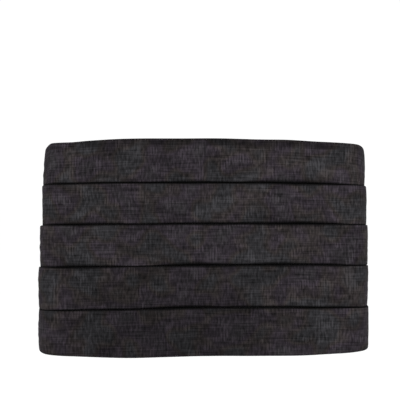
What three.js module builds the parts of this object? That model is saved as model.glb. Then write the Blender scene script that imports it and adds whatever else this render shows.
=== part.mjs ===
import * as THREE from "three";

// A cummerbund with five upward-facing pleats, fastened behind into a flat loop.
// Millimetres. +Z is up the wearer, the front faces -Y, and left and right are as seen from the front.
// The origin is the centre of the loop, where the waist goes.

// The pleated panel
const FRONT_HEIGHT = 140; // top edge to hem at the centre front
const FRONT_WIDTH = 208.4; // outside, across the top pleat
const LOOP_DEPTH = 34; // outside, front to back over a side bend, at the top pleat
const FRONT_BOW = 4; // the middle of the front stands out this far past its sides
const WING_REACH = 42; // the flat stretch of the panel behind, past the bend
const CLOTH = 1; // a pleat's folded cloth
const LAYER_GAP = 0.3; // between two layers that lie on each other
const LAP = 11; // a pleat runs down this far behind the next one, at the centre front
const SPREAD = 2.8; // the bottom pleat lies this far outside the top one, at the centre front
const BELLY = 0.35; // a pleat's face stands out this far between its folds, at the centre front

// The folded strip that holds the pleats' ends
const BINDING_WIDTH = 12;
const BINDING_CLOTH = 1;
const BINDING_OVERHANG = 1; // past the pleats, above and below
const BINDING_ROUND = 1.6; // corner radius of its closed edge

// The back strap, and its loop through the clasp
const STRAP_WIDTH = 25;
const STRAP_CLOTH = 1.5;
const STRAP_RETURN = 20; // the end that is folded back round the clasp's bar and sewn down
const STRAP_CLOSING = 6; // past the clasp, the two plies come together over this length

// The clasp, a flat plate with a slot at each end
const CLASP_LENGTH = 36;
const CLASP_PLATE = 1.6;
const CLASP_BAR = 3; // the bar outside each slot
const CLASP_RAIL = 2.6; // the rail above and below a slot
const CLASP_SLOT = 5;
const CLASP_SLOT_CLEARANCE = 0.5; // between the strap's edge and the end of the slot
const CLASP_CORNER = 3;

const CHARCOAL_CLOTH = { color: 0x323033, roughness: 0.92, metalness: 0 };
const BLACK_WEBBING = { color: 0x17171a, roughness: 0.85, metalness: 0 };
const NICKEL = { color: 0xb3b0aa, roughness: 0.35, metalness: 1 };

// The pleats from the top down. `out` is how far each upper fold lies outside the top pleat's, as a share of SPREAD.
const PLEATS = [
  { name: "top", out: 0 },
  { name: "second", out: 0.25 },
  { name: "middle", out: 0.66 },
  { name: "fourth", out: 0.93 },
  { name: "bottom", out: 1 },
];

// How the folds lie along the loop. `at` is 0 at the centre front, 1 where a side bend starts, 2 where it ends and
// 3 at the end of the wing behind, and negative on the left. The other columns are heights above the loop's centre,
// as shares of FRONT_HEIGHT: the upper fold of each pleat, and the hem under the last.
const LAY = [
  { at: -3.0, top: 0.235, second: 0.15, middle: 0.055, fourth: -0.045, bottom: -0.145, hem: -0.24 },
  { at: -2.7, top: 0.235, second: 0.15, middle: 0.055, fourth: -0.045, bottom: -0.145, hem: -0.24 },
  { at: -2.0, top: 0.35, second: 0.24, middle: 0.09, fourth: -0.075, bottom: -0.235, hem: -0.385 },
  { at: -1.5, top: 0.448, second: 0.284, middle: 0.101, fourth: -0.09, bottom: -0.284, hem: -0.474 },
  { at: -1.375, top: 0.467, second: 0.29, middle: 0.104, fourth: -0.091, bottom: -0.29, hem: -0.488 },
  { at: -1.25, top: 0.484, second: 0.293, middle: 0.105, fourth: -0.091, bottom: -0.292, hem: -0.496 },
  { at: -1.0, top: 0.487, second: 0.295, middle: 0.105, fourth: -0.091, bottom: -0.291, hem: -0.501 },
  { at: -0.55, top: 0.499, second: 0.299, middle: 0.107, fourth: -0.087, bottom: -0.286, hem: -0.509 },
  { at: 0.0, top: 0.501, second: 0.3, middle: 0.11, fourth: -0.081, bottom: -0.277, hem: -0.499 },
  { at: 0.55, top: 0.495, second: 0.298, middle: 0.111, fourth: -0.08, bottom: -0.277, hem: -0.499 },
  { at: 1.0, top: 0.481, second: 0.292, middle: 0.108, fourth: -0.082, bottom: -0.278, hem: -0.489 },
  { at: 1.25, top: 0.476, second: 0.289, middle: 0.107, fourth: -0.083, bottom: -0.278, hem: -0.481 },
  { at: 1.375, top: 0.466, second: 0.287, middle: 0.106, fourth: -0.083, bottom: -0.276, hem: -0.475 },
  { at: 1.5, top: 0.445, second: 0.282, middle: 0.104, fourth: -0.083, bottom: -0.272, hem: -0.461 },
  { at: 2.0, top: 0.35, second: 0.24, middle: 0.09, fourth: -0.075, bottom: -0.23, hem: -0.375 },
  { at: 2.7, top: 0.235, second: 0.15, middle: 0.055, fourth: -0.045, bottom: -0.145, hem: -0.24 },
  { at: 3.0, top: 0.235, second: 0.15, middle: 0.055, fourth: -0.045, bottom: -0.145, hem: -0.24 },
];

const BEND_RADIUS = LOOP_DEPTH / 2;
const FRONT_HALF = FRONT_WIDTH / 2 - BEND_RADIUS;
const BEND_LENGTH = Math.PI * BEND_RADIUS;
const STRETCHES = [FRONT_HALF, BEND_LENGTH, WING_REACH]; // half the front, a bend, a wing
const WING_END = STRETCHES.reduce((sum, length) => sum + length);

const FRONT_STEPS = 12;
const BEND_STEPS = 10;
const WING_STEPS = 5;
const FACE_STEPS = 4; // down a pleat's showing face
const ROUND_STEPS = 4; // over a fold

// The distance along the loop from the centre front to a place in the LAY table.
function distanceTo(at) {
  const run = STRETCHES.reduce((sum, length, i) => sum + length * THREE.MathUtils.clamp(Math.abs(at) - i, 0, 1), 0);
  return Math.sign(at) * run;
}

// A point of the top pleat's outer face in plan, at distance s along the loop, moved outward by `out`.
function planPoint(s, out) {
  const side = s < 0 ? -1 : 1;
  const run = Math.abs(s);
  if (run <= FRONT_HALF) {
    const phase = (Math.PI * run) / FRONT_HALF;
    const bow = (FRONT_BOW * (1 + Math.cos(phase))) / 2;
    const slope = (FRONT_BOW * Math.PI * Math.sin(phase)) / (2 * FRONT_HALF);
    const normal = new THREE.Vector2(slope, -1).normalize();
    return new THREE.Vector2(side * (run + normal.x * out), normal.y * out - BEND_RADIUS - bow);
  }
  const bent = Math.min(run - FRONT_HALF, BEND_LENGTH);
  const angle = bent / BEND_RADIUS;
  const radius = BEND_RADIUS + out;
  const wing = run - FRONT_HALF - bent;
  return new THREE.Vector2(side * (FRONT_HALF + radius * Math.sin(angle) - wing), -radius * Math.cos(angle));
}

// The rate at which a column of the table changes at row i. It never overshoots, so level rows stay level.
function rate(column, i) {
  const secant = (a, b) => (b[column] - a[column]) / (distanceTo(b.at) - distanceTo(a.at));
  if (i === 0 || i === LAY.length - 1) return 0;
  const before = secant(LAY[i - 1], LAY[i]);
  const after = secant(LAY[i], LAY[i + 1]);
  return before * after > 0 ? (2 * before * after) / (before + after) : 0;
}

// A column of the table at distance s, as a smooth curve through its rows.
function read(column, s) {
  const next = LAY.findIndex((row) => distanceTo(row.at) >= s);
  const i = Math.max(0, (next < 0 ? LAY.length - 1 : next) - 1);
  const [a, b] = [LAY[i], LAY[i + 1]];
  const span = distanceTo(b.at) - distanceTo(a.at);
  const t = THREE.MathUtils.clamp((s - distanceTo(a.at)) / span, 0, 1);
  const rise = t * t * (3 - 2 * t);
  const lead = span * t * (1 - t) * (rate(column, i) * (1 - t) - rate(column, i + 1) * t);
  return a[column] + (b[column] - a[column]) * rise + lead;
}

const foldHeight = (pleat, s) => FRONT_HEIGHT * read(PLEATS[pleat]?.name ?? "hem", s);

// How full the panel's height is at distance s: 1 at the centre front, less in the narrow wings.
const fullness = (s) => read("top", s) - read("hem", s);

const lap = (s) => LAP * fullness(s);

const foldOut = (pleat, s) => SPREAD * PLEATS[pleat].out * fullness(s);

// How far a pleat's outer face lies outside the top pleat's upper fold, at distance s and height z.
function faceOut(pleat, s, z) {
  const last = pleat === PLEATS.length - 1;
  const top = foldHeight(pleat, s);
  const next = foldHeight(pleat + 1, s);
  if (!last && z < next) return faceOut(pleat + 1, s, z) - CLOTH - LAYER_GAP;
  const out = foldOut(pleat, s);
  const fall = last ? 0 : out + CLOTH + LAYER_GAP - foldOut(pleat + 1, s);
  const down = THREE.MathUtils.clamp((top - z) / (top - next), 0, 1);
  return out - fall * down + BELLY * fullness(s) * 4 * down * (1 - down);
}

// A pleat's closed section at distance s, as points (out, z): over the upper fold, down the face, round the lower
// edge and up the back.
function pleatSection(pleat, s) {
  const radius = CLOTH / 2;
  const top = foldHeight(pleat, s);
  const next = foldHeight(pleat + 1, s);
  const low = pleat === PLEATS.length - 1 ? next : next - lap(s);
  const round = (z, turn) => {
    const middle = faceOut(pleat, s, z) - radius;
    return Array.from({ length: ROUND_STEPS + 1 }, (_, i) => {
      const angle = turn + (Math.PI * i) / ROUND_STEPS;
      return new THREE.Vector2(middle - radius * Math.cos(angle), z + radius * Math.sin(angle));
    });
  };
  const heights = [];
  for (let i = 1; i <= FACE_STEPS; i++) heights.push(THREE.MathUtils.lerp(top - radius, next, i / FACE_STEPS));
  if (pleat === PLEATS.length - 1) heights.pop();
  const face = heights.map((z) => new THREE.Vector2(faceOut(pleat, s, z), z));
  const back = heights.map((z) => new THREE.Vector2(faceOut(pleat, s, z) - CLOTH, z)).reverse();
  return [...round(top - radius, 0), ...face, ...round(low + radius, Math.PI), ...back];
}

// A closed solid through a row of rings, each a list of as many points, with flat ends.
function loft(rings) {
  const count = rings[0].length;
  const indices = [];
  for (let r = 0; r + 1 < rings.length; r++) {
    for (let i = 0; i < count; i++) {
      const [a, b] = [r * count + i, r * count + ((i + 1) % count)];
      indices.push(a, b, a + count, b, b + count, a + count);
    }
  }
  const flatten = (ring) => {
    const [origin, along] = [ring[0], ring[1].clone().sub(ring[0]).normalize()];
    const normal = new THREE.Vector3();
    ring.forEach((p, i) => normal.add(p.clone().cross(ring[(i + 1) % count])));
    const across = normal.normalize().cross(along);
    return ring.map((p) => p.clone().sub(origin)).map((p) => new THREE.Vector2(p.dot(along), p.dot(across)));
  };
  const last = (rings.length - 1) * count;
  for (const [a, b, c] of THREE.ShapeUtils.triangulateShape(flatten(rings[0]), [])) indices.push(a, c, b);
  for (const [a, b, c] of THREE.ShapeUtils.triangulateShape(flatten(rings.at(-1)), [])) {
    indices.push(last + a, last + b, last + c);
  }
  const geometry = new THREE.BufferGeometry().setFromPoints(rings.flat());
  geometry.setIndex(indices);
  geometry.computeVertexNormals();
  return geometry;
}

// Places along the loop, from `from` to `to` in the table's measure, close together where it bends.
function stations() {
  const steps = [
    [-3, -2, WING_STEPS],
    [-2, -1, BEND_STEPS],
    [-1, 1, FRONT_STEPS],
    [1, 2, BEND_STEPS],
    [2, 3, WING_STEPS],
  ];
  const places = steps.flatMap(([from, to, n]) => Array.from({ length: n }, (_, i) => from + ((to - from) * i) / n));
  return [...places, 3].map(distanceTo);
}

function pleatGeometry(pleat) {
  const ring = (s) =>
    pleatSection(pleat, s).map((p) => {
      const q = planPoint(s, p.x);
      return new THREE.Vector3(q.x, q.y, p.y);
    });
  return loft(stations().map(ring));
}

// The pleats' ends as one stack. Its faces lean outward towards the hem by `lean` for each millimetre, and lie
// between `inner` and `outer` from the line that leans through the top pleat's upper fold.
function endStack() {
  const lowest = PLEATS.length - 1;
  const top = foldHeight(0, WING_END);
  const lean = foldOut(lowest, WING_END) / (top - foldHeight(lowest, WING_END));
  const samples = [0, 0.5, 1].map((share) => WING_END - share * BINDING_WIDTH);
  const points = samples.flatMap((s) => PLEATS.flatMap((_, pleat) => pleatSection(pleat, s)));
  const proud = points.map((p) => p.x - lean * (top - p.y));
  return { top, lean, inner: Math.min(...proud), outer: Math.max(...proud) };
}

const STACK = endStack();
const stackLine = (z) => BEND_RADIUS + STACK.lean * (STACK.top - z);
const WING_END_X = FRONT_HALF - WING_REACH;

function bindingGeometry(side) {
  const corner = (x, y, turn) =>
    Array.from({ length: ROUND_STEPS + 1 }, (_, i) => {
      const angle = turn + (Math.PI * i) / (2 * ROUND_STEPS);
      return [x - BINDING_ROUND * Math.sin(angle), y + BINDING_ROUND * Math.cos(angle)];
    });
  const ring = (z) => {
    const line = stackLine(z);
    const outer = line + STACK.outer + LAYER_GAP;
    const inner = line + STACK.inner - LAYER_GAP;
    const open = WING_END_X + BINDING_WIDTH;
    const channel = WING_END_X - LAYER_GAP;
    const closed = channel - BINDING_CLOTH + BINDING_ROUND;
    const outline = [
      [open, outer + BINDING_CLOTH],
      ...corner(closed, outer + BINDING_CLOTH - BINDING_ROUND, 0),
      ...corner(closed, inner - BINDING_CLOTH + BINDING_ROUND, Math.PI / 2),
      [open, inner - BINDING_CLOTH],
      [open, inner],
      [channel, inner],
      [channel, outer],
      [open, outer],
    ];
    if (side < 0) outline.reverse();
    return outline.map(([x, y]) => new THREE.Vector3(side * x, y, z));
  };
  return loft([foldHeight(PLEATS.length, WING_END) - BINDING_OVERHANG, STACK.top + BINDING_OVERHANG].map(ring));
}

// The strap's outer face clears the binding all over the strap's width.
const STRAP_OUTER = stackLine(STRAP_WIDTH / 2) + STACK.inner - 2 * LAYER_GAP - BINDING_CLOTH;
const CLASP_MIDDLE = STRAP_OUTER - STRAP_CLOTH - LAYER_GAP - CLASP_PLATE / 2;
const CLASP_BAR_INSIDE = CLASP_LENGTH / 2 - CLASP_BAR;

function strapGeometry(side) {
  const inside = CLASP_PLATE / 2 + LAYER_GAP;
  const outside = inside + STRAP_CLOTH;
  const sewn = WING_END_X + BINDING_WIDTH;
  const clear = CLASP_LENGTH / 2 + LAYER_GAP;
  const joined = clear + STRAP_CLOSING;
  const returned = CLASP_BAR_INSIDE + STRAP_RETURN;
  const outline = new THREE.Shape();
  outline.moveTo(sewn, outside);
  outline.lineTo(CLASP_BAR_INSIDE, outside);
  outline.absarc(CLASP_BAR_INSIDE, 0, outside, Math.PI / 2, (3 * Math.PI) / 2, false);
  outline.lineTo(clear, -outside);
  outline.lineTo(joined, inside - STRAP_CLOTH);
  outline.lineTo(returned, inside - STRAP_CLOTH);
  outline.lineTo(returned, inside);
  outline.lineTo(sewn, inside);
  const loop = new THREE.Path();
  loop.moveTo(joined, inside);
  loop.lineTo(clear, -inside);
  loop.lineTo(CLASP_BAR_INSIDE, -inside);
  loop.absarc(CLASP_BAR_INSIDE, 0, inside, (3 * Math.PI) / 2, Math.PI / 2, true);
  outline.holes.push(loop);
  const geometry = new THREE.ExtrudeGeometry(outline, {
    depth: STRAP_WIDTH,
    bevelEnabled: false,
    curveSegments: 10,
  });
  geometry.translate(0, CLASP_MIDDLE, -STRAP_WIDTH / 2);
  if (side < 0) geometry.rotateZ(Math.PI).rotateX(Math.PI);
  return geometry;
}

function roundedRectangle(path, x, y, width, height, radius) {
  path.moveTo(x + radius, y);
  path.lineTo(x + width - radius, y);
  path.absarc(x + width - radius, y + radius, radius, -Math.PI / 2, 0, false);
  path.lineTo(x + width, y + height - radius);
  path.absarc(x + width - radius, y + height - radius, radius, 0, Math.PI / 2, false);
  path.lineTo(x + radius, y + height);
  path.absarc(x + radius, y + height - radius, radius, Math.PI / 2, Math.PI, false);
  path.lineTo(x, y + radius);
  path.absarc(x + radius, y + radius, radius, Math.PI, (3 * Math.PI) / 2, false);
  return path;
}

function claspGeometry() {
  const slotHeight = STRAP_WIDTH + 2 * CLASP_SLOT_CLEARANCE;
  const height = slotHeight + 2 * CLASP_RAIL;
  const plate = roundedRectangle(
    new THREE.Shape(),
    -CLASP_LENGTH / 2,
    -height / 2,
    CLASP_LENGTH,
    height,
    CLASP_CORNER,
  );
  for (const left of [-CLASP_BAR_INSIDE, CLASP_BAR_INSIDE - CLASP_SLOT]) {
    plate.holes.push(
      roundedRectangle(new THREE.Path(), left, -slotHeight / 2, CLASP_SLOT, slotHeight, CLASP_SLOT_CLEARANCE),
    );
  }
  const geometry = new THREE.ExtrudeGeometry(plate, {
    depth: CLASP_PLATE,
    bevelEnabled: false,
    curveSegments: 4,
  });
  return geometry.rotateX(Math.PI / 2).translate(0, CLASP_MIDDLE + CLASP_PLATE / 2, 0);
}

const cummerbund = new THREE.Group();

function add(name, geometry, finish) {
  const mesh = new THREE.Mesh(geometry, new THREE.MeshStandardMaterial(finish));
  mesh.name = name;
  cummerbund.add(mesh);
}

PLEATS.forEach(({ name }, pleat) => add(name + "_pleat", pleatGeometry(pleat), CHARCOAL_CLOTH));
for (const [name, side] of [["left", -1], ["right", 1]]) {
  add(name + "_end_binding", bindingGeometry(side), CHARCOAL_CLOTH);
  add(name + "_back_strap", strapGeometry(side), BLACK_WEBBING);
}
add("back_clasp", claspGeometry(), NICKEL);

export default cummerbund;
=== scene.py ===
import math

import bpy
import numpy as np
from mathutils import Matrix, Vector, noise


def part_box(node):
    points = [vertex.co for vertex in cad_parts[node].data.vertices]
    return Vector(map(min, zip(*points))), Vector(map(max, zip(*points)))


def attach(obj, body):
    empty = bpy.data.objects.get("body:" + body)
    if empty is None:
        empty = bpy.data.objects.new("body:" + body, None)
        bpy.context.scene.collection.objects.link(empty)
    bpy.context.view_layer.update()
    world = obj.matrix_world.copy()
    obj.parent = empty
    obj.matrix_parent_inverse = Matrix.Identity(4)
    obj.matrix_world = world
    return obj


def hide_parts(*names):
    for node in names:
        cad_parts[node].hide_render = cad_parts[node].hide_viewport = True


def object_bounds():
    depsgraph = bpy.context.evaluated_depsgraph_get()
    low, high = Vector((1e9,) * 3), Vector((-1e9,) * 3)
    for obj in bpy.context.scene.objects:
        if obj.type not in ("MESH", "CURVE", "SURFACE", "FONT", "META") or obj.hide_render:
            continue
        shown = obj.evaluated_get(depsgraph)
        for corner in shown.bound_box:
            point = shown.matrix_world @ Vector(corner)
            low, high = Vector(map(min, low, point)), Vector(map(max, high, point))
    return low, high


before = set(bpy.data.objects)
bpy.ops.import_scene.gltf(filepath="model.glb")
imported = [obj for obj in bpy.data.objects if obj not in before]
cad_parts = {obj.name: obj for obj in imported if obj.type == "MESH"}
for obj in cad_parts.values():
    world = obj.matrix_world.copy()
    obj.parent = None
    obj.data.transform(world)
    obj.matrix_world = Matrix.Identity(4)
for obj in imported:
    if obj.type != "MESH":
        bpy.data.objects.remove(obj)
cad_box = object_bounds()

MM = 0.001


# The five pleats
# Bands of charcoal cloth, each folded double and pressed, laid over one another with the folds upward, so
# that each band overlaps the foot of the band above. They go round the front and both sides, and narrow
# towards the back.
BAND_THICKNESS = 0.9
TOUCH = 0.06  # between two bands that lie on each other
LAP = 11  # a band runs down this far behind the next one, at the centre front
FRONT_BOW = 4  # the middle of the front stands out this far past its sides
BINDING_CLOTH = 1
LAYER_GAP = 0.3  # as the frame's solids keep it

# How the folds lie along the loop. The first column is 0 at the centre front, 1 where a side bend starts, 2
# where it ends and 3 at the end of the wing behind, and negative on the left. The others are heights above
# the loop's centre, as shares of the front's height: the upper folds of the five bands, and the hem.
FOLDS = ("top", "second", "middle", "fourth", "bottom", "hem")
LAY = (
    (-3.0, 0.235, 0.15, 0.055, -0.045, -0.145, -0.24),
    (-2.7, 0.235, 0.15, 0.055, -0.045, -0.145, -0.24),
    (-2.0, 0.35, 0.24, 0.09, -0.075, -0.235, -0.385),
    (-1.5, 0.448, 0.284, 0.101, -0.09, -0.284, -0.474),
    (-1.375, 0.467, 0.29, 0.104, -0.091, -0.29, -0.488),
    (-1.25, 0.484, 0.293, 0.105, -0.091, -0.292, -0.496),
    (-1.0, 0.487, 0.295, 0.105, -0.091, -0.291, -0.501),
    (-0.55, 0.499, 0.299, 0.107, -0.087, -0.286, -0.509),
    (0.0, 0.501, 0.3, 0.11, -0.081, -0.277, -0.499),
    (0.55, 0.495, 0.298, 0.111, -0.08, -0.277, -0.499),
    (1.0, 0.481, 0.292, 0.108, -0.082, -0.278, -0.489),
    (1.25, 0.476, 0.289, 0.107, -0.083, -0.278, -0.481),
    (1.375, 0.466, 0.287, 0.106, -0.083, -0.276, -0.475),
    (1.5, 0.445, 0.282, 0.104, -0.083, -0.272, -0.461),
    (2.0, 0.35, 0.24, 0.09, -0.075, -0.23, -0.375),
    (2.7, 0.235, 0.15, 0.055, -0.045, -0.145, -0.24),
    (3.0, 0.235, 0.15, 0.055, -0.045, -0.145, -0.24),
)

# How far each band's face stands outside the loop's own line, in millimetres: under its fold, halfway down
# and at its foot, for the five bands from the top. The left and right rows are for the bends.
STAND = {
    "left": ((-0.6, 0.1, 0.6), (1.3, 1.2, 1.0), (2.7, 2.6, 2.4), (3.3, 4.0, 3.1), (3.3, 3.8, 3.3)),
    "front": ((0.0, 0.2, 0.0), (0.8, 1.0, 0.8), (1.7, 1.9, 1.7), (2.4, 2.6, 2.3), (2.9, 3.1, 2.7)),
    "right": ((0.5, 0.7, 0.5), (1.6, 1.9, 1.7), (2.6, 2.8, 2.5), (2.9, 2.9, 2.3), (3.1, 3.2, 3.1)),
    "wing": ((0.0, 0.1, 0.0), (0.4, 0.5, 0.4), (0.8, 0.9, 0.8), (1.1, 1.2, 1.1), (1.4, 1.5, 1.4)),
}
STAND_PLACES = (
    (-3.0, "wing"), (-2.2, "wing"), (-1.6, "left"), (-1.4, "left"), (-0.8, "front"),
    (0.8, "front"), (1.4, "right"), (1.6, "right"), (2.2, "wing"), (3.0, "wing"),
)

# Each band's face curls inward under its fold and above its foot, which leaves a dark groove between two
# bands, made darker still by painted shade. The cloth is pulled flat where the loop bends, so there all of
# this is shallower.
CURL_REACH = {"top": 4.5, "second": 1.8, "middle": 2.2, "fourth": 1.8, "bottom": 1.8}
CURL_DEPTH = {"top": 1.0, "second": 0.4, "middle": 0.5, "fourth": 0.4, "bottom": 0.4}
HEM_CURL_REACH = 2.4
HEM_CURL_DEPTH = 0.5
LEAST_CURL = 0.6  # what is left of a curl where the bands are narrow
GROOVE_REACH = 1.6  # above the foot, where it gapes by its usual width
GROOVE_TAIL = 3.2  # below the foot, behind the next band
GROOVE_DEPTH = 1.5

# How tightly the cloth is pulled at places along the loop, from 0 to 1.
TIGHT = (
    (-3.0, 0.3), (-2.0, 0.5), (-1.5, 0.7), (-1.1, 0.2), (-0.9, 0.0),
    (0.9, 0.0), (1.1, 0.2), (1.5, 0.7), (2.0, 0.5), (3.0, 0.3),
)

# How wide the grooves gape at places along the loop, against their usual width: in turn under the top,
# second, middle and fourth bands.
GAPES = (
    (-3.0, 1.0, 1.0, 1.0, 1.0),
    (-2.0, 0.9, 0.9, 0.9, 0.9),
    (-1.3, 0.5, 0.5, 0.5, 0.5),
    (-1.0, 0.8, 1.0, 1.2, 0.8),
    (-0.85, 0.8, 1.35, 1.55, 0.9),
    (-0.5, 0.7, 0.7, 0.5, 1.1),
    (-0.05, 1.3, 1.25, 1.8, 1.9),
    (0.2, 0.9, 0.9, 1.2, 1.1),
    (0.62, 1.55, 1.5, 1.5, 1.3),
    (0.95, 0.95, 0.85, 1.0, 0.85),
    (1.2, 0.3, 0.3, 0.4, 0.6),
    (1.5, 0.4, 0.4, 0.4, 0.5),
    (2.0, 0.9, 0.9, 0.9, 0.9),
    (3.0, 1.0, 1.0, 1.0, 1.0),
)

# The cloth's unevenness is smooth noise. Each kind has a height, in millimetres or as a share, the lengths
# of its waves along the loop and up the cloth, its place in the noise, and the step from band to band.
UNEVENNESS = {
    "fold wander": (0.3, 26, 1, 0.4, 3.7),  # the pressed folds aren't quite straight
    "groove wander": (0.3, 27, 1, 40, 5.1),  # the grooves widen and narrow by this share
    "broad swell": (0.45, 34, 17, 0, 11.3),
    "small crease": (0.16, 11, 6, 5, 11.3),
    "pull crease": (0.45, 24, 3.2, 8, 11.3),  # fine level creases, where the cloth is pulled round a bend
}

# How strongly the pull creases show at places along the loop.
PULL_PLACES = (
    (-2.2, 0.0), (-1.5, 0.9), (-0.95, 1.0), (-0.6, 0.0),
    (0.8, 0.0), (1.2, 0.5), (1.6, 0.5), (2.2, 0.0),
)

EVEN_END = 10  # the cloth is even this near to its ends, inside the bindings
END_FADE = 20  # and its unevenness comes in over this length
EVEN_EDGE = 0.04  # it fades towards a face's fold and foot, but not in this last share of the face
TOP_RISE = 0.7  # the top fold stands up a little more over the front
RISE_PLACES = ((-1.0, 0.0), (-0.85, 0.75), (-0.7, 1.0), (0.9, 1.0), (1.25, 0.8), (1.5, 0.0))

loop_low, loop_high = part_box("top_pleat")
hem_low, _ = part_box("bottom_pleat")
FRONT_HEIGHT = (loop_high.z - hem_low.z) / MM / (max(row[1] for row in LAY) - min(row[6] for row in LAY))
BEND_RADIUS = loop_high.y / MM
FRONT_HALF = (loop_high.x - loop_low.x) / 2 / MM - BEND_RADIUS
WING_REACH = FRONT_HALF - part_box("right_end_binding")[0].x / MM - BINDING_CLOTH - LAYER_GAP
STRETCHES = (FRONT_HALF, math.pi * BEND_RADIUS, WING_REACH)


def distance_to(at):
    """How far along the loop a place of the tables is from the centre front, negative on the left."""
    run = sum(length * min(max(abs(at) - i, 0), 1) for i, length in enumerate(STRETCHES))
    return math.copysign(run, at)


def smooth_read(places, values, s):
    """A curve through the values at rising places, level where they are level, read at each distance s."""
    places = np.array(places, float)
    values = np.array(values, float)
    secants = np.diff(values) / np.diff(places)
    before, after = secants[:-1], secants[1:]
    same_way = before * after > 0
    rates = np.zeros(len(values))
    rates[1:-1][same_way] = 2 * before[same_way] * after[same_way] / (before + after)[same_way]
    i = np.clip(np.searchsorted(places, s) - 1, 0, len(places) - 2)
    span = places[i + 1] - places[i]
    t = np.clip((s - places[i]) / span, 0, 1)
    rise = t * t * (3 - 2 * t)
    lead = span * t * (1 - t) * (rates[i] * (1 - t) - rates[i + 1] * t)
    return values[i] + (values[i + 1] - values[i]) * rise + lead


def plan_point(s, out):
    """Where a point lies in plan, at distance s from the centre and `out` outside the loop's own line."""
    side = np.where(s < 0, -1.0, 1.0)
    run = np.abs(s)
    phase = np.pi * np.minimum(run, FRONT_HALF) / FRONT_HALF
    bow = FRONT_BOW * (1 + np.cos(phase)) / 2
    slope = FRONT_BOW * np.pi * np.sin(phase) / (2 * FRONT_HALF)
    steep = np.hypot(slope, 1)
    bent = np.clip(run - FRONT_HALF, 0, math.pi * BEND_RADIUS)
    angle = bent / BEND_RADIUS
    wing = np.maximum(run - FRONT_HALF - bent, 0)
    radius = BEND_RADIUS + out
    front = run <= FRONT_HALF
    x = np.where(front, run + slope / steep * out, FRONT_HALF + radius * np.sin(angle) - wing)
    y = np.where(front, -BEND_RADIUS - bow - out / steep, -radius * np.cos(angle))
    return side * x, y


STATION_STEP = 1.0
LOOP_HALF = distance_to(3)
stations = np.linspace(-LOOP_HALF, LOOP_HALF, 2 * round(LOOP_HALF / STATION_STEP) + 1)
lay_places = [distance_to(row[0]) for row in LAY]
fold_heights = [
    FRONT_HEIGHT * smooth_read(lay_places, [row[1 + column] for row in LAY], stations)
    for column in range(len(FOLDS))
]
fullness = (fold_heights[0] - fold_heights[-1]) / FRONT_HEIGHT
end_fade = np.clip((LOOP_HALF - np.abs(stations) - EVEN_END) / END_FADE, 0, 1)


def uneven(kind, number, z):
    """One kind of unevenness on band `number`, at each station and its height z."""
    height, wave_along, wave_up, place, step = UNEVENNESS[kind]
    seed = step * number + place
    waves = [noise.noise((a / wave_along, b / wave_up, seed)) for a, b in zip(stations, z)]
    return height * np.array(waves)


def strip_strength(places):
    """How strong something is at each station, from a table of places and shares."""
    return smooth_read([distance_to(at) for at, _ in places], [share for _, share in places], stations)


slack = 1 - strip_strength(TIGHT)
for number in range(len(FOLDS)):
    fold_heights[number] = fold_heights[number] + uneven("fold wander", number, 0 * stations) * end_fade
fold_heights[0] = fold_heights[0] + TOP_RISE * strip_strength(RISE_PLACES)


def stand(number, share):
    """How far outside the loop's line a band's face lies at each station, `share` of the way down it, and
    before it curls."""
    places = [distance_to(at) for at, _ in STAND_PLACES]
    under, half, foot = (
        smooth_read(places, [STAND[where][number][k] for _, where in STAND_PLACES], stations)
        for k in range(3)
    )
    return under + share * (4 * half - 3 * under - foot) + share**2 * (2 * under + 2 * foot - 4 * half)


def gape(number):
    """How wide the groove at band `number`'s foot is at each station, against its usual width."""
    widths = strip_strength([(row[0], row[1 + number]) for row in GAPES])
    return widths * (1 + uneven("groove wander", number, 0 * stations))


def face_out(number, z):
    """How far band `number`'s outer face lies outside the loop's line, at each station and its height z."""
    name = FOLDS[number]
    top = fold_heights[number]
    foot = fold_heights[number + 1]
    share = np.clip((top - z) / (top - foot), 0, 1)
    out = stand(number, share)
    swell = uneven("broad swell", number, z)
    crease = uneven("small crease", number, z)
    pull = strip_strength(PULL_PLACES) * uneven("pull crease", number, z)
    away_from_edges = np.sin(np.pi * np.clip(share, EVEN_EDGE, 1 - EVEN_EDGE))
    out = out + (swell + crease + pull) * end_fade * away_from_edges
    scale = np.clip(fullness, LEAST_CURL, 1)
    curl = np.clip(1 - (top - z) / (CURL_REACH[name] * scale), 0, 1)
    out = out - CURL_DEPTH[name] * scale * slack * curl**2
    if name == "bottom":
        hem = np.clip(1 - (z - foot) / HEM_CURL_REACH, 0, 1)
        return out - HEM_CURL_DEPTH * slack * hem**2
    reach = GROOVE_REACH * gape(number)
    if np.all(z >= foot + reach):
        return out
    behind = face_out(number + 1, np.minimum(z, foot)) - BAND_THICKNESS - TOUCH
    above = np.clip((z - foot) / reach, 0, 1)
    below = np.clip((foot - z) / GROOVE_TAIL, 0, 1)
    tucked = behind - GROOVE_DEPTH * scale * slack * end_fade * (1 - below) ** 2
    return np.where(z < foot, tucked, out + (tucked - out) * (1 - above) ** 2)


# How many points a band's section has: down its face, in the groove at its foot, behind the next band, up
# its inner face and round each edge.
FACE_POINTS = 34
GROOVE_POINTS = 11
HIDDEN_POINTS = 8
INNER_POINTS = 24
ROUND_POINTS = 9
FACE_CROWDING = 1.25  # the face's points lie closer together towards its fold
GROOVE_ABOVE = 1.4  # the groove's points start this many reaches above the foot
GROOVE_BELOW = 0.6  # and end this far below it


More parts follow.
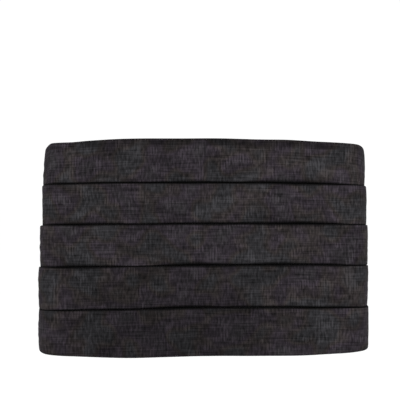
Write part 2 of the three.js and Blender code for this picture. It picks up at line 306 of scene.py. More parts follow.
def band_section(number):
    """A band's section at every station, from its lowest point up the inner face, over the fold and down
    the outer face: heights, distances out, and lengths along the cloth from the fold, less than 0 on the
    inner face."""
    radius = BAND_THICKNESS / 2
    turn = radius * (math.pi / 2 - 1)
    top = fold_heights[number]
    foot = fold_heights[number + 1]
    last = FOLDS[number] == "bottom"
    low = foot if last else foot - LAP * fullness
    groove_top = foot + GROOVE_REACH * GROOVE_ABOVE
    groove_low = foot - GROOVE_BELOW
    face_shares = np.linspace(0, 1, FACE_POINTS) ** FACE_CROWDING
    outer = [top - radius + (groove_top - top + radius) * t for t in face_shares]
    outer += [groove_top + (groove_low - groove_top) * t for t in np.linspace(0, 1, GROOVE_POINTS)[1:]]
    if last:
        outer = [np.maximum(z, low + radius) for z in outer]
    else:
        hidden = low + radius - groove_low
        outer += [groove_low + hidden * t for t in np.linspace(0, 1, HIDDEN_POINTS)[1:]]
    rows = []
    for t in np.linspace(0, 1, INNER_POINTS):
        z = low + radius + (top - low - 2 * radius) * t
        rows.append((z, face_out(number, z) - BAND_THICKNESS, z - top - turn))
    crown = face_out(number, top - radius) - radius
    for angle in np.linspace(0, math.pi, ROUND_POINTS)[1:-1]:
        over = radius * (angle - math.pi / 2) + 0 * top
        rows.append((top - radius + radius * math.sin(angle), crown - radius * math.cos(angle), over))
    for z in outer:
        rows.append((z, face_out(number, z), top - z + turn))
    sole = face_out(number, low + radius) - radius
    for angle in np.linspace(0, math.pi, ROUND_POINTS)[1:-1]:
        depth = top - low - radius + turn + radius * angle
        rows.append((low + radius - radius * math.sin(angle), sole + radius * math.cos(angle), depth))
    return [np.stack(column, axis=1) for column in zip(*rows)]


def add_object(name, data):
    """A new object in the scene."""
    made = bpy.data.objects.new(name, data)
    bpy.context.scene.collection.objects.link(made)
    return made


def faces_between(rings):
    """The four-sided faces between closed rings of points, which are given by their numbers."""
    following = np.roll(rings, -1, axis=1)
    corners = [rings[:-1], following[:-1], following[1:], rings[1:]]
    return np.stack(corners, axis=-1).reshape(-1, 4).tolist()


def skin(name, rings, lengths, along, shade, paired_ends=False):
    """A closed mesh through rings of points in millimetres. Its UV map holds, in metres, where each ring
    is (along) and where each point is round it (lengths), and its shade attribute holds painted shade, 1
    in the depth of a groove. Paired ends are closed by strips, the others by one face."""
    count, size = rings.shape[:2]
    index = np.arange(count * size).reshape(count, size)
    faces = faces_between(index)
    for ring in (index[0][::-1], index[-1]):
        if paired_ends:
            half = size // 2
            there, back = ring[:half], ring[half:][::-1]
            faces += np.stack([there[:-1], there[1:], back[1:], back[:-1]], axis=-1).tolist()
        else:
            faces.append(ring.tolist())
    mesh = bpy.data.meshes.new(name)
    mesh.from_pydata(rings.reshape(-1, 3) * MM, [], faces)
    layer = mesh.uv_layers.new(name="cloth")
    u = np.repeat(along[:, None], size, axis=1).reshape(-1)
    v = lengths.reshape(-1)
    corners = np.zeros(len(mesh.loops), np.int32)
    mesh.loops.foreach_get("vertex_index", corners)
    layer.data.foreach_set("uv", np.stack([u[corners], v[corners]], axis=-1).reshape(-1) * MM)
    attribute = mesh.attributes.new("shade", "FLOAT", "POINT")
    attribute.data.foreach_set("value", shade.reshape(-1).astype(np.float32))
    mesh.polygons.foreach_set("use_smooth", [True] * len(mesh.polygons))
    return add_object(name, mesh)


def linear(code):
    """A colour's sRGB hex code as linear red, green, blue and alpha."""
    shares = [int(code[i:i + 2], 16) / 255 for i in (1, 3, 5)]
    return (*[c / 12.92 if c <= 0.04045 else ((c + 0.055) / 1.055) ** 2.4 for c in shares], 1.0)


def bare_material(name):
    """A new material without nodes, and its tree for them."""
    made = bpy.data.materials.new(name)
    made.use_nodes = True
    made.node_tree.nodes.clear()
    return made, made.node_tree


def add_node(tree, kind, links=None, **settings):
    """A new node with its settings. links gives inputs a value or another node's output, by their names, or
    by number where names repeat: a mix has its two values at 2 and 3, and its two colours at 6 and 7."""
    made = tree.nodes.new(kind)
    for name, value in settings.items():
        setattr(made, name, value)
    for name, value in (links or {}).items():
        if isinstance(value, bpy.types.NodeSocket):
            tree.links.new(value, made.inputs[name])
        else:
            made.inputs[name].default_value = value
    return made


# The patterns of the cloth: how far each goes along the loop and up the cloth, in millimetres.
PATTERNS = {
    "weft slubs": (18, 0.9),
    "warp slubs": (1.25, 4.5),
    "clouds": (26, 12),
    "casts": (21, 21),
    "bundles": (9, 9),
}
PATTERN_DETAIL = 1.2  # how much finer noise lies over the noise of that size
WARP_SHARE = 0.57  # of the streaks that stand upright
CLOUD_TONE = 0.25  # how far the clouds move the tone, up and down together
YARN_PITCH = 1.75  # between the pale yarns of a bundle
BUNDLE_RIM = 0.58  # the height of its noise where a bundle begins
BUNDLE_FULL = 0.63  # and where it is full
BUNDLE_TONE = 0.2  # how far its yarns lift the tone
WAVE_REPEAT = math.pi / 10  # how often a wave texture of scale 1 repeats
THREAD_SPACING = 0.35
THREAD_TONE = 0.07  # how far the over and under of the threads moves the tone
SLUB_RELIEF = 2.0  # how high the streaks stand, against the threads
TONES = ((0.245, "#0d0d0d"), (0.5, "#1f1f1f"), (0.775, "#303030"))
CASTS = ((0.36, "#f4f1fb"), (0.46, "#fce9e7"), (0.56, "#fae4fd"), (1.0, "#ffffff"))
# The near black that the painted shade mixes into the cloth.
DEEP_SHADE = "#010101"


def woven_slub_cloth():
    """Worsted suiting in plain weave of uneven yarn: matt charcoal, with short paler and darker streaks
    along both threads, small bundles of paler upright yarns, and clouds that turn faintly brown or violet.
    The streaks are drawn about twice as thick as real slubs, so that they show."""
    made, tree = bare_material("woven_slub_cloth")
    cloth = add_node(tree, "ShaderNodeUVMap", uv_map="cloth").outputs["UV"]
    patterns = {}
    for name, (long, high) in PATTERNS.items():
        size = (1 / (long * MM), 1 / (high * MM), 1)
        spread = add_node(tree, "ShaderNodeMapping", {"Vector": cloth, "Scale": size})
        patterns[name] = add_node(
            tree, "ShaderNodeTexNoise",
            {"Vector": spread.outputs[0], "Scale": 1.0, "Detail": PATTERN_DETAIL, "Roughness": 0.5},
            noise_dimensions="2D",
        ).outputs[0]
    slubs = add_node(
        tree, "ShaderNodeMix",
        {"Factor": WARP_SHARE, 2: patterns["weft slubs"], 3: patterns["warp slubs"]},
    ).outputs[0]
    clouds = add_node(
        tree, "ShaderNodeMath",
        {0: patterns["clouds"], 1: CLOUD_TONE, 2: -CLOUD_TONE / 2},
        operation="MULTIPLY_ADD",
    ).outputs[0]
    cloudy = add_node(tree, "ShaderNodeMath", {0: slubs, 1: clouds}, operation="ADD").outputs[0]
    yarns = add_node(
        tree, "ShaderNodeTexWave",
        {"Vector": cloth, "Scale": WAVE_REPEAT / (YARN_PITCH * MM), "Distortion": 0.0},
        bands_direction="X",
    ).outputs["Fac"]
    places = add_node(
        tree, "ShaderNodeMapRange",
        {"Value": patterns["bundles"], "From Min": BUNDLE_RIM, "From Max": BUNDLE_FULL,
         "To Min": 0.0, "To Max": BUNDLE_TONE},
    ).outputs[0]
    bundles = add_node(
        tree, "ShaderNodeMath", {0: yarns, 1: places, 2: cloudy}, operation="MULTIPLY_ADD"
    ).outputs[0]
    warp, weft = (
        add_node(
            tree, "ShaderNodeTexWave",
            {"Vector": cloth, "Scale": WAVE_REPEAT / (2 * THREAD_SPACING * MM), "Distortion": 0.0},
            bands_direction=direction,
        ).outputs["Fac"]
        for direction in ("X", "Y")
    )
    # A plain weave is high where just one of its two threads is: warp + weft - 2 * warp * weft.
    together = add_node(tree, "ShaderNodeMath", {0: warp, 1: weft}, operation="ADD").outputs[0]
    crossed = add_node(tree, "ShaderNodeMath", {0: warp, 1: weft}, operation="MULTIPLY").outputs[0]
    weave = add_node(
        tree, "ShaderNodeMath", {0: crossed, 1: -2.0, 2: together}, operation="MULTIPLY_ADD"
    ).outputs[0]
    fine = add_node(
        tree, "ShaderNodeMath", {0: weave, 1: THREAD_TONE, 2: -THREAD_TONE / 2}, operation="MULTIPLY_ADD"
    ).outputs[0]
    threads = add_node(tree, "ShaderNodeMath", {0: fine, 1: bundles}, operation="ADD").outputs[0]
    tones = add_node(tree, "ShaderNodeValToRGB", {"Fac": threads})
    casts = add_node(tree, "ShaderNodeValToRGB", {"Fac": patterns["casts"]})
    for ramp, stops in ((tones.color_ramp, TONES), (casts.color_ramp, CASTS)):
        ramp.elements[0].position = stops[0][0]
        ramp.elements[1].position = stops[-1][0]
        for place, _ in stops[1:-1]:
            ramp.elements.new(place)
        for element, (_, colour) in zip(ramp.elements, stops):
            element.color = linear(colour)
    tinted = add_node(
        tree, "ShaderNodeMix",
        {"Factor": 1.0, 6: tones.outputs[0], 7: casts.outputs[0]},
        data_type="RGBA", blend_type="MULTIPLY",
    )
    # Painted shade: the shade attribute mixes the cloth towards near black in the grooves, on the folds
    # below them, along the top fold and over the lower faces round the middle.
    shade = add_node(tree, "ShaderNodeAttribute", attribute_name="shade").outputs["Fac"]
    shaded = add_node(
        tree, "ShaderNodeMix",
        {"Factor": shade, 6: tinted.outputs[2], 7: linear(DEEP_SHADE)},
        data_type="RGBA",
    )
    relief = add_node(
        tree, "ShaderNodeMath", {0: slubs, 1: SLUB_RELIEF, 2: weave}, operation="MULTIPLY_ADD"
    ).outputs[0]
    bump = add_node(tree, "ShaderNodeBump", {"Height": relief, "Strength": 0.4, "Distance": 0.1 * MM})
    surface = add_node(
        tree, "ShaderNodeBsdfPrincipled",
        {"Base Color": shaded.outputs[2], "Roughness": 0.95, "Normal": bump.outputs[0],
         "Specular IOR Level": 0.04, "Sheen Weight": 0.01, "Sheen Roughness": 0.5},
    )
    add_node(tree, "ShaderNodeOutputMaterial", {"Surface": surface.outputs[0]})
    return made


pleat_cloth = woven_slub_cloth()

# How dark the cloth is painted where little light comes, as painted shade on top of the grooves' own
# shadow. It is fully dark where a band goes down behind the fold of the next, and on that fold, and the
# shade fades over these distances, in millimetres. A strip along the top fold has painted shade too, and so
# have the faces round the middle, most of all on the lower bands.
GROOVE_SHADE = 1.4  # above a foot, where the groove gapes by its usual width
GROOVE_SHADE_BEHIND = 3.0  # below a foot, behind the next band
FOLD_SHADE = 0.9  # under a fold, where the groove over it gapes by its usual width
SHADE_OVER_FOLD = 0.9  # over a fold and down its inner side
EDGE_REACH = 3.9  # of the strip along the top fold
EDGE_FADE = 1.8  # past it
EDGE_SHADE = ((-1.0, 0.0), (-0.85, 0.42), (-0.45, 0.44), (-0.3, 0.54), (0.9, 0.54), (1.1, 0.3), (1.2, 0.0))
UPPER_PLACES = ((-0.9, 0.0), (-0.6, 0.9), (-0.3, 1.0), (0.0, 0.5), (0.35, 0.1), (0.6, 0.0))
LOWER_PLACES = ((-1.4, 0.0), (-0.95, 0.6), (-0.5, 0.95), (0.0, 1.0), (0.4, 0.65), (0.75, 0.1), (1.1, 0.0))
FACE_SHADE = {
    "top": (0.14, UPPER_PLACES),
    "second": (0.13, UPPER_PLACES),
    "middle": (0.13, UPPER_PLACES),
    "fourth": (0.31, LOWER_PLACES),
    "bottom": (0.42, LOWER_PLACES),
}
SEPARATE_CLOTH = 57  # between two bands in the cloth's pattern


def shade_on(number, heights, lengths):
    """How deep the painted shade is at each point of band `number`."""
    name = FOLDS[number]
    over_foot = heights - fold_heights[number + 1][:, None]
    under_fold = fold_heights[number][:, None] - heights
    depth, places = FACE_SHADE[name]
    shade = depth * strip_strength(places)[:, None] * np.ones_like(heights)
    if name != "bottom":
        reach = np.where(over_foot > 0, GROOVE_SHADE * gape(number)[:, None], GROOVE_SHADE_BEHIND)
        shade = np.maximum(shade, np.exp(-((over_foot / reach) ** 2)))
    if name == "top":
        edge = np.clip((EDGE_REACH + EDGE_FADE - under_fold) / EDGE_FADE, 0, 1)
        shade = np.maximum(shade, strip_strength(EDGE_SHADE)[:, None] * edge)
    else:
        reach = FOLD_SHADE * gape(number - 1)[:, None]
        shade = np.maximum(shade, np.exp(-((under_fold / reach) ** 2)))
    return shade * np.clip(1 + lengths / SHADE_OVER_FOLD, 0, 1)


for number, name in enumerate(FOLDS[:-1]):
    heights, outs, lengths = band_section(number)
    x, y = plan_point(stations[:, None], outs)
    rings = np.stack([x, y, heights], axis=-1)
    shade = shade_on(number, heights, lengths)
    pleat = skin(name + "_pleat_cloth", rings, lengths + SEPARATE_CLOTH * number, stations, shade)
    pleat.data.materials.append(pleat_cloth)
    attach(pleat, "root")
    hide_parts(name + "_pleat")


# The end bindings
# A strip of the same cloth is folded over the five narrowed pleat ends on each side, with its long edges
# turned under. One row of stitches near those edges holds it, and a square of stitches holds the strap
# inside it.
binding_low, binding_high = (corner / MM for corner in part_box("right_end_binding"))
wing_stand = STAND["wing"][-1][0] - STAND["wing"][0][0]
lean = wing_stand / (fold_heights[0][-1] - fold_heights[4][-1])  # outward, for each millimetre down
BINDING_DEPTH = binding_high.y - binding_low.y - lean * (binding_high.z - binding_low.z)
BINDING_CORNER = 1.1  # of the cloth's middle, at the closed edge
BINDING_INSET = 0.06  # its flat faces lie this far inside the solid's
TURNED = 3.2  # the edge that is turned under
TURNED_RISE = 0.12  # how much thicker that makes it
TURNED_SLOPE = 0.3
EDGE_ROUND = 0.5
THIN_EDGE = 0.02  # the share of the thickness that is left at an edge
BINDING_SEAM = 1.8  # the row of stitches, from the open edge
SEAM_END = 1.5  # where that row stops, from the binding's ends
SEAM_DEPTH = 0.16  # how deep its stitches pull the cloth in
SEAM_REACH = 0.7
BINDING_STEP = 0.3  # between points round the binding
BINDING_RING_STEP = 3.0  # between rings up the binding
FIRST_RING = 1.6  # the first of the even rings, from each end
CORNER_POINTS = 12
binding_middle = binding_high.y - BINDING_DEPTH / 2 + lean * binding_low.z


def evenly(points, step):
    """The points of a line, spaced evenly about `step` apart, and their distances along it."""
    points = np.array(points, float)
    run = np.concatenate([[0], np.cumsum(np.hypot(*np.diff(points, axis=0).T))])
    places = np.linspace(0, run[-1], round(run[-1] / step) + 1)
    return np.stack([np.interp(places, run, points[:, k]) for k in (0, 1)], axis=1), places


def arc(x, y, radius, start, end, count=CORNER_POINTS):
    """Points of an arc in plan, with its angles in quarter turns."""
    turns = np.linspace(start, end, count) * math.pi / 2
    return [(x + radius * math.cos(turn), y + radius * math.sin(turn)) for turn in turns]


def rounded(distance, reach):
    """1 beyond `reach` from an edge, falling in a round to almost nothing at the edge itself."""
    return np.sqrt(np.maximum(1 - (1 - np.clip(distance / reach, 0, 1)) ** 2, THIN_EDGE**2))


def fix_facing(piece):
    """Turns a closed mesh's faces outward."""
    count = len(piece.data.vertices)
    points = np.zeros(count * 3)
    piece.data.vertices.foreach_get("co", points)
    points = points.reshape(-1, 3)
    volume = 0
    for face in piece.data.polygons:
        a, *rest = (points[v] for v in face.vertices)
        volume += sum(np.dot(a, np.cross(b, c)) for b, c in zip(rest, rest[1:]))
    if volume < 0:
        piece.data.flip_normals()


def folded_strip(name, path, places, halves, heights, lean, side):
    """A strip of cloth that stands on edge along a line in plan. halves gives its half thickness at each
    height and place along the line."""
    across = np.gradient(path, axis=0)
    across = np.stack([-across[:, 1], across[:, 0]], axis=1) / np.hypot(*across.T)[:, None]
    rings = []
    for z, half in zip(heights, halves):
        sides = np.concatenate([path + across * half[:, None], (path - across * half[:, None])[::-1]])
        rings.append(np.column_stack([side * sides[:, 0], sides[:, 1] - lean * z, np.full(len(sides), z)]))
    lengths = np.tile(np.concatenate([places, places[::-1]]), (len(heights), 1))
    made = skin(name, np.array(rings), lengths, heights, np.zeros(lengths.shape), paired_ends=True)
    fix_facing(made)
    return made


binding_edges = np.array([0, 0.06, 0.18, 0.35, 0.6, 1.0])  # the rings that round its ends off
binding_height = binding_high.z - binding_low.z
even_rings = np.linspace(FIRST_RING, binding_height - FIRST_RING, round(binding_height / BINDING_RING_STEP))
binding_heights = binding_low.z + np.concatenate(
    [binding_edges, even_rings, binding_height - binding_edges[::-1]]
)
binding_half_gap = BINDING_DEPTH / 2 - BINDING_CLOTH / 2
closed_x = binding_low.x + BINDING_CLOTH / 2 + BINDING_CORNER
binding_line = (
    [(binding_high.x, binding_middle + binding_half_gap)]
    + arc(closed_x, binding_middle + binding_half_gap - BINDING_CORNER, BINDING_CORNER, 1, 2)
    + arc(closed_x, binding_middle - binding_half_gap + BINDING_CORNER, BINDING_CORNER, 2, 3)
    + [(binding_high.x, binding_middle - binding_half_gap)]
)
binding_path, binding_places = evenly(binding_line, BINDING_STEP)
from_edge = np.minimum(binding_places, binding_places[-1] - binding_places)
binding_fold = TURNED_RISE * (1 + np.tanh((TURNED - from_edge) / TURNED_SLOPE)) / 2
binding_pull = SEAM_DEPTH * np.exp(-(((from_edge - BINDING_SEAM) / SEAM_REACH) ** 2))
binding_halves = [
    (BINDING_CLOTH / 2 - BINDING_INSET + binding_fold - binding_pull)
    * rounded(from_edge, EDGE_ROUND)
    * rounded(min(z - binding_heights[0], binding_heights[-1] - z), EDGE_ROUND)
    for z in binding_heights
]

THREAD = 0.36
THREAD_TWIST = 0.5  # from one turn of its plies to the next
THREAD_SIDES = 6
THREAD_STEPS = 7
THREAD_BLACK = "#151416"
STITCH = 2.7
STITCH_GAP = 0.6
STITCH_RISE = 0.2
STITCH_DIP = 1.2  # how deep its ends go into the cloth, against its rise
STITCH_ARCH = 0.6  # below 1, its middle lies flat and its ends turn down steeply


def twisted_sewing_thread():
    """Spun polyester thread, black, in three twisted plies: a soft gloss along its length, broken by the
    twist."""
    made, tree = bare_material("twisted_sewing_thread")
    run = add_node(tree, "ShaderNodeUVMap", uv_map="cloth").outputs["UV"]
    twist = add_node(
        tree, "ShaderNodeTexWave",
        {"Vector": run, "Scale": WAVE_REPEAT / (THREAD_TWIST * MM), "Distortion": 0.0},
        bands_direction="DIAGONAL",
    ).outputs["Fac"]
    bump = add_node(tree, "ShaderNodeBump", {"Height": twist, "Strength": 0.6, "Distance": 0.05 * MM})
    surface = add_node(
        tree, "ShaderNodeBsdfPrincipled",
        {"Base Color": linear(THREAD_BLACK), "Roughness": 0.5, "Normal": bump.outputs[0],
         "Specular IOR Level": 0.3, "Sheen Weight": 0.05},
    )
    add_node(tree, "ShaderNodeOutputMaterial", {"Surface": surface.outputs[0]})
    return made


sewing_thread = twisted_sewing_thread()


def sew(name, rows):
    """Rows of stitches in one mesh. Each row goes straight from one point to another on a surface that
    faces `out`, and each stitch rises from the cloth and goes back into it."""
    vertices, faces, uvs = [], [], []
    turns = np.linspace(0, 2 * math.pi, THREAD_SIDES, endpoint=False)
    shares = np.linspace(0, 1, THREAD_STEPS)
    for start, end, out in rows:
        start, end, out = (np.array(v, float) for v in (start, end, out))
        along = (end - start) / np.linalg.norm(end - start)
        beside = np.cross(along, out)
        count = round((np.linalg.norm(end - start) + STITCH_GAP) / (STITCH + STITCH_GAP))
        pitch = (np.linalg.norm(end - start) + STITCH_GAP) / count
        for i in range(count):
            first = len(vertices)
            for share in shares:
                arched = (1 + STITCH_DIP) * math.sin(math.pi * share) ** STITCH_ARCH - STITCH_DIP
                run = i * pitch + share * (pitch - STITCH_GAP)
                middle = start + along * run + out * (STITCH_RISE * arched)
                for turn in turns:
                    vertices.append(middle + THREAD / 2 * (beside * math.cos(turn) + out * math.sin(turn)))
                    uvs.append((share * STITCH, turn * THREAD / 2))
            index = first + np.arange(THREAD_STEPS * THREAD_SIDES).reshape(THREAD_STEPS, THREAD_SIDES)
            faces += faces_between(index) + [index[0][::-1].tolist(), index[-1].tolist()]
    mesh = bpy.data.meshes.new(name)
    mesh.from_pydata([Vector(v) * MM for v in vertices], [], faces)
    layer = mesh.uv_layers.new(name="cloth")
    for corner, loop in zip(layer.data, mesh.loops):
        corner.uv = Vector(uvs[loop.vertex_index]) * MM
    mesh.polygons.foreach_set("use_smooth", [True] * len(mesh.polygons))
    mesh.materials.append(sewing_thread)
    made = add_object(name, mesh)
    fix_facing(made)
    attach(made, "root")
    return made


def binding_face(x, z, way):
    """A point on the binding's face: way is 1 on the outside and -1 on the inside of the loop."""
    return (x, binding_middle + way * (BINDING_DEPTH / 2 - BINDING_INSET) - lean * z, z)


def square_rows(x_pair, z_pair, face, out, crossed=False):
    """Rows of stitches round a rectangle, with its diagonals if crossed."""
    corners = [
        (x_pair[0], z_pair[0]),
        (x_pair[1], z_pair[0]),
        (x_pair[1], z_pair[1]),
        (x_pair[0], z_pair[1]),
    ]
    ends = list(zip(corners, corners[1:] + corners[:1]))
    if crossed:
        ends += [(corners[0], corners[2]), (corners[1], corners[3])]
    return [(face(*a), face(*b), out) for a, b in ends]


def mirrored(rows, side):
    """Rows of stitches of the right side, on the side given."""
    return [tuple((side * v[0], v[1], v[2]) for v in row) for row in rows]


SQUARE_IN = 1.4  # the strap's square of stitches lies this far inside its edges
SQUARE_CLEAR = 1.6  # and this far from the binding's closed edge and its row of stitches
strap_low, strap_high = (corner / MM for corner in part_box("right_back_strap"))
seam_x = binding_high.x - BINDING_SEAM
square_x = (binding_low.x + SQUARE_CLEAR, seam_x - SQUARE_CLEAR)
square_z = (strap_low.z + SQUARE_IN, strap_high.z - SQUARE_IN)
for name, side in (("left", -1), ("right", 1)):
    binding_name = name + "_end_binding_cloth"
    binding = folded_strip(
        binding_name, binding_path, binding_places, binding_halves, binding_heights, lean, side
    )
    binding.data.materials.append(pleat_cloth)
    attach(binding, "root")
    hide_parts(name + "_end_binding")
    rows = []
    for way in (1, -1):
        low_end = binding_face(seam_x, binding_low.z + SEAM_END, way)
        high_end = binding_face(seam_x, binding_high.z - SEAM_END, way)
        rows.append((low_end, high_end, (0, way, 0)))
    rows += square_rows(square_x, square_z, lambda x, z: binding_face(x, z, 1), (0, 1, 0))
    sew(name + "_end_binding_stitches", mirrored(rows, side))


# The back straps
# A strap of ribbed black webbing is sewn inside each binding. It goes out through the clasp's slot, round
# the bar and back on its inner side, where its end is sewn down with a crossed square of stitches.
clasp_low, clasp_high = (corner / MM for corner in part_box("back_clasp"))
clasp_middle = (clasp_low.y + clasp_high.y) / 2
CLASP_BAR = 3  # between a slot and the clasp's end
STRAP_CLOTH = 1.5
STRAP_INSET = 0.05  # its flat faces lie this far inside the solid's
STRAP_RETURN = 20  # how far its end comes back past the bar
STRAP_CLOSING = 6  # the length over which the returned end comes to lie on the strap
CLOSING_POINTS = 9
LOOP_POINTS = 24
RIB = 1.8  # from one rib to the next
RIB_HEIGHT = 0.16
SELVEDGE = 1.4  # the plain edge on each side of the ribs
SELVEDGE_SLOPE = 0.12
STRAP_END_ROUND = 0.4
STRAP_SIDE_ROUND = 0.6
STRAP_STEP = 0.2  # between points along the strap
EVEN_ROWS = 9
FIRST_ROW = 2.4  # the first of the even rows across the strap, from each side
bar_x = clasp_high.x - CLASP_BAR
clear_x = clasp_high.x + LAYER_GAP
ply = strap_high.y - clasp_middle - STRAP_CLOTH / 2
closing_width = 2 * ply - STRAP_CLOTH - TOUCH
closing = [
    (clear_x + STRAP_CLOSING * t, clasp_middle - ply + closing_width * t * t * (3 - 2 * t))
    for t in np.linspace(0, 1, CLOSING_POINTS)
]
strap_line = (
    [(strap_high.x, clasp_middle + ply)]
    + arc(bar_x, clasp_middle, ply, 1, 3, LOOP_POINTS)
    + closing
    + [(bar_x + STRAP_RETURN, clasp_middle + ply - STRAP_CLOTH - TOUCH)]
)
strap_path, strap_places = evenly(strap_line, STRAP_STEP)
strap_edges = np.array([0, 0.05, 0.15, 0.3, 0.5, 0.8, 1.1, 1.4, 1.7])  # the rows in its plain edge
strap_width = strap_high.z - strap_low.z
even_rows = np.linspace(FIRST_ROW, strap_width - FIRST_ROW, EVEN_ROWS)
across_strap = np.concatenate([strap_edges, even_rows, strap_width - strap_edges[::-1]])
strap_heights = strap_low.z + across_strap
ribs = RIB_HEIGHT * np.cos(2 * math.pi * strap_places / RIB)
strap_ends = np.minimum(strap_places, strap_places[-1] - strap_places)
strap_halves = []
for from_side in np.minimum(across_strap, strap_width - across_strap):
    selvedge = 1 / (1 + math.exp((from_side - SELVEDGE) / SELVEDGE_SLOPE))
    half = STRAP_CLOTH / 2 - RIB_HEIGHT / 2 + ribs / 2 * (1 - selvedge) - STRAP_INSET * (1 - selvedge)
    strap_halves.append(half * rounded(strap_ends, STRAP_END_ROUND) * rounded(from_side, STRAP_SIDE_ROUND))

WEBBING_BLACK = "#0e0e11"
WEBBING_PALE = "#25252a"
# The near black of the painted shade between the ribs.
WEBBING_RIB_SHADE = "#030304"
YARN_IN_RIB = 0.45
RIB_NARROWS = 2.0  # the power that narrows the dark lines between the ribs
WEBBING_WEAR = 4


def ribbed_webbing():
    """Polyester webbing, dyed black: hard ribs across the strap, filled with fine yarns that give a soft
    silky gloss on each rib, and a plain tight edge. The lines between the ribs are darkened with painted
    shade."""
    made, tree = bare_material("ribbed_webbing")
    run = add_node(tree, "ShaderNodeUVMap", uv_map="cloth").outputs["UV"]
    yarns = add_node(
        tree, "ShaderNodeTexWave",
        {"Vector": run, "Scale": WAVE_REPEAT / (YARN_IN_RIB * MM), "Distortion": 1.0, "Detail": 1.0},
        bands_direction="X",
    ).outputs["Fac"]
    between_ribs = add_node(
        tree, "ShaderNodeTexWave",
        {"Vector": run, "Scale": WAVE_REPEAT / (RIB * MM), "Distortion": 0.0},
        bands_direction="Y",
    ).outputs["Fac"]
    wear = add_node(
        tree, "ShaderNodeTexNoise",
        {"Vector": run, "Scale": 1 / (WEBBING_WEAR * MM), "Detail": 4.0},
        noise_dimensions="2D",
    ).outputs[0]
    mixed = add_node(tree, "ShaderNodeMath", {0: yarns, 1: wear}, operation="MULTIPLY").outputs[0]
    tone = add_node(
        tree, "ShaderNodeMix",
        {"Factor": mixed, 6: linear(WEBBING_BLACK), 7: linear(WEBBING_PALE)},
        data_type="RGBA",
    )
    # Painted shade: the lines between the ribs are mixed towards near black.
    deep = add_node(tree, "ShaderNodeMath", {0: between_ribs, 1: RIB_NARROWS}, operation="POWER").outputs[0]
    ribbed = add_node(
        tree, "ShaderNodeMix",
        {"Factor": deep, 6: tone.outputs[2], 7: linear(WEBBING_RIB_SHADE)},
        data_type="RGBA",
    )
    rough = add_node(tree, "ShaderNodeMapRange", {"Value": wear, "To Min": 0.5, "To Max": 0.75})
    bump = add_node(tree, "ShaderNodeBump", {"Height": yarns, "Strength": 0.6, "Distance": 0.08 * MM})
    surface = add_node(
        tree, "ShaderNodeBsdfPrincipled",
        {"Base Color": ribbed.outputs[2], "Roughness": rough.outputs[0], "Normal": bump.outputs[0],
         "Specular IOR Level": 0.16, "Sheen Weight": 0.03},
    )
    add_node(tree, "ShaderNodeOutputMaterial", {"Surface": surface.outputs[0]})
    return made


webbing = ribbed_webbing()
SQUARE_LEAD = 1  # from where the returned end lies on the strap to its square of stitches
outer_face = clasp_middle + ply + STRAP_CLOTH / 2 - STRAP_INSET
inner_face = clasp_middle + ply - STRAP_CLOTH / 2 + STRAP_INSET
return_face = clasp_middle + ply - 3 * STRAP_CLOTH / 2 - TOUCH + STRAP_INSET
crossed_x = (clear_x + STRAP_CLOSING + SQUARE_LEAD, bar_x + STRAP_RETURN - SQUARE_IN)
for name, side in (("left", -1), ("right", 1)):
    strap = folded_strip(
        name + "_back_strap_webbing", strap_path, strap_places, strap_halves, strap_heights, 0, side
    )
    strap.data.materials.append(webbing)
    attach(strap, "root")
    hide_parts(name + "_back_strap")
    rows = square_rows(crossed_x, square_z, lambda x, z: (x, outer_face, z), (0, 1, 0), crossed=True)
    rows += square_rows(crossed_x, square_z, lambda x, z: (x, return_face, z), (0, -1, 0), crossed=True)
    rows += square_rows(square_x, square_z, lambda x, z: (x, inner_face, z), (0, -1, 0))
    sew(name + "_back_strap_stitches", mirrored(rows, side))


# The clasp
# One flat plate of pressed steel, nickel plated, with a slot at each end for a strap. Its edges are tumbled
# round, and its face is finely brushed and a little dulled by wear.
CLASP_SLOT = 5
CLASP_SLOT_CLEARANCE = 0.5
CLASP_SLOT_CORNER = 0.6
CLASP_CORNER = 3
CLASP_CORNER_POINTS = 9
CLASP_EDGE = 0.4
CLASP_THICKNESS = clasp_high.y - clasp_low.y
FLAT_FACE = 0.99  # a face that turns this far to the front or back is part of the flat plate
plate = bpy.data.curves.new("plate_outline", "CURVE")
plate.dimensions = "2D"
plate.fill_mode = "BOTH"
plate.extrude = (CLASP_THICKNESS / 2 - CLASP_EDGE) * MM
plate.bevel_depth = CLASP_EDGE * MM
plate.bevel_resolution = 3
plate.offset = -CLASP_EDGE * MM


def rounded_outline(low_x, high_x, half_height, radius):
    """A rectangle with round corners, as one closed line of the plate."""
    points = (
        arc(high_x - radius, half_height - radius, radius, 0, 1, CLASP_CORNER_POINTS)
        + arc(low_x + radius, half_height - radius, radius, 1, 2, CLASP_CORNER_POINTS)
        + arc(low_x + radius, radius - half_height, radius, 2, 3, CLASP_CORNER_POINTS)
        + arc(high_x - radius, radius - half_height, radius, 3, 4, CLASP_CORNER_POINTS)
    )
    line = plate.splines.new("POLY")
    line.points.add(len(points) - 1)
    for point, (x, y) in zip(line.points, points):
        point.co = (x * MM, y * MM, 0, 1)
    line.use_cyclic_u = True


rounded_outline(clasp_low.x, clasp_high.x, clasp_high.z, CLASP_CORNER)
slot_half = strap_width / 2 + CLASP_SLOT_CLEARANCE
for inner, outer in ((-bar_x, CLASP_SLOT - bar_x), (bar_x - CLASP_SLOT, bar_x)):
    rounded_outline(inner, outer, slot_half, CLASP_SLOT_CORNER)
plate_object = add_object("plate_outline", plate)
bpy.context.view_layer.update()
evaluated = plate_object.evaluated_get(bpy.context.evaluated_depsgraph_get())
clasp_mesh = bpy.data.meshes.new_from_object(evaluated)
bpy.data.objects.remove(plate_object)
clasp_mesh.transform(Matrix.Translation((0, clasp_middle * MM, 0)) @ Matrix.Rotation(math.pi / 2, 4, "X"))
clasp = add_object("back_clasp_plate", clasp_mesh)
for face in clasp_mesh.polygons:
    face.use_smooth = abs(face.normal.y) < FLAT_FACE

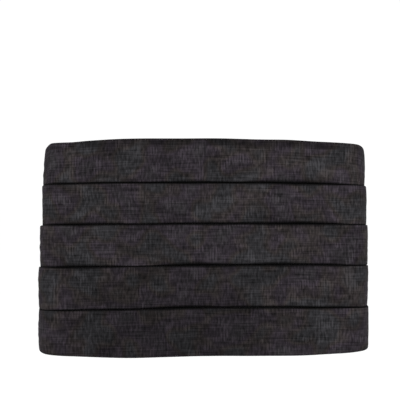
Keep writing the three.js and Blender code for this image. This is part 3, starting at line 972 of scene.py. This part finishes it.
BRUSH_STROKE = 12
BRUSH_LINE = 0.22  # drawn about five times coarser than real brushing, so that it shows
HANDLED = 9
HANDLED_SHARE = 0.35  # how much the patches of handling count beside the brushing
NICKEL = "#b9b5ad"
NICKEL_DULL = "#9d988f"


def brushed_nickel_plate():
    """Bright nickel on pressed steel, finely brushed along the plate: a pale warm metal with a soft
    streaked reflection, dulled in patches by handling."""
    made, tree = bare_material("brushed_nickel_plate")
    place = add_node(tree, "ShaderNodeTexCoord").outputs["Object"]
    brushing = add_node(
        tree, "ShaderNodeMapping",
        {"Vector": place, "Scale": (1 / (BRUSH_STROKE * MM), 1, 1 / (BRUSH_LINE * MM))},
    ).outputs[0]
    lines = add_node(
        tree, "ShaderNodeTexNoise", {"Vector": brushing, "Scale": 1.0, "Detail": 3.0}
    ).outputs[0]
    handling = add_node(
        tree, "ShaderNodeTexNoise", {"Vector": place, "Scale": 1 / (HANDLED * MM), "Detail": 3.0}
    ).outputs[0]
    dull = add_node(
        tree, "ShaderNodeMath", {0: handling, 1: HANDLED_SHARE, 2: lines}, operation="MULTIPLY_ADD"
    ).outputs[0]
    worn = add_node(
        tree, "ShaderNodeMapRange", {"Value": dull, "From Min": 0.5, "From Max": 0.85}
    ).outputs[0]
    tone = add_node(
        tree, "ShaderNodeMix",
        {"Factor": worn, 6: linear(NICKEL), 7: linear(NICKEL_DULL)},
        data_type="RGBA",
    )
    rough = add_node(tree, "ShaderNodeMapRange", {"Value": worn, "To Min": 0.26, "To Max": 0.4})
    bump = add_node(tree, "ShaderNodeBump", {"Height": lines, "Strength": 0.4, "Distance": 0.02 * MM})
    surface = add_node(
        tree, "ShaderNodeBsdfPrincipled",
        {"Base Color": tone.outputs[2], "Metallic": 1.0, "Roughness": rough.outputs[0],
         "Normal": bump.outputs[0]},
    )
    add_node(tree, "ShaderNodeOutputMaterial", {"Surface": surface.outputs[0]})
    return made


clasp_mesh.materials.clear()
clasp_mesh.materials.append(brushed_nickel_plate())
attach(clasp, "root")
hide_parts("back_clasp")


# The floor and the light
# A plain white studio: a wide white floor below the loop, an even white surround, a soft lamp in front,
# above and to the right, and a weaker one on the left.
FLOOR_DROP = 0.05
FLOOR_SIZE = 60.0
PAPER_WHITE = "#fcfcfc"
SURROUND = 1.04
floor_level = cad_box[0].z - FLOOR_DROP
floor_mesh = bpy.data.meshes.new("floor")
floor_mesh.from_pydata(
    [(x * FLOOR_SIZE, y * FLOOR_SIZE, floor_level) for x, y in ((-1, -1), (1, -1), (1, 1), (-1, 1))],
    [],
    [(0, 1, 2, 3)],
)
floor = add_object("floor", floor_mesh)
white_paper = bpy.data.materials.new("white_paper")
white_paper.use_nodes = True
paper = white_paper.node_tree.nodes["Principled BSDF"]
paper.inputs["Base Color"].default_value = linear(PAPER_WHITE)
paper.inputs["Roughness"].default_value = 0.9
floor_mesh.materials.append(white_paper)

world = bpy.data.worlds.new("studio")
world.use_nodes = True
background = world.node_tree.nodes["Background"]
background.inputs["Color"].default_value = (1, 1, 1, 1)
background.inputs["Strength"].default_value = SURROUND
bpy.context.scene.world = world

LAMPS = (
    # name, place, width and energy
    ("front_softbox", (0.18, -0.47, 0.32), 0.3, 3.7),
    ("left_softbox", (-0.6, -0.12, 0.06), 0.3, 1.3),
)
for name, place, width, energy in LAMPS:
    lamp = bpy.data.lights.new(name, "AREA")
    lamp.size = width
    lamp.energy = energy
    softbox = add_object(name, lamp)
    softbox.location = place
    softbox.rotation_euler = (-softbox.location).to_track_quat("-Z", "Y").to_euler()


# The camera
# It looks level at the front through a long lens, with the loop below the picture's middle and a little to
# the right of it.
CAMERA_DISTANCE = 2.0
PICTURE_WIDTH = 258 * MM  # what the picture takes in at the front of the loop
CAMERA_RISE = 30.9 * MM
CAMERA_LEFT = 2.5 * MM
SENSOR = 36.0
camera_data = bpy.data.cameras.new("camera")
camera_data.sensor_width = SENSOR
camera_data.lens = SENSOR * CAMERA_DISTANCE / PICTURE_WIDTH
camera = add_object("camera", camera_data)
camera.location = (-CAMERA_LEFT, cad_box[0].y - CAMERA_DISTANCE, CAMERA_RISE)
camera.rotation_euler = (math.pi / 2, 0, 0)
bpy.context.scene.camera = camera
bpy.context.scene.view_settings.view_transform = "Standard"
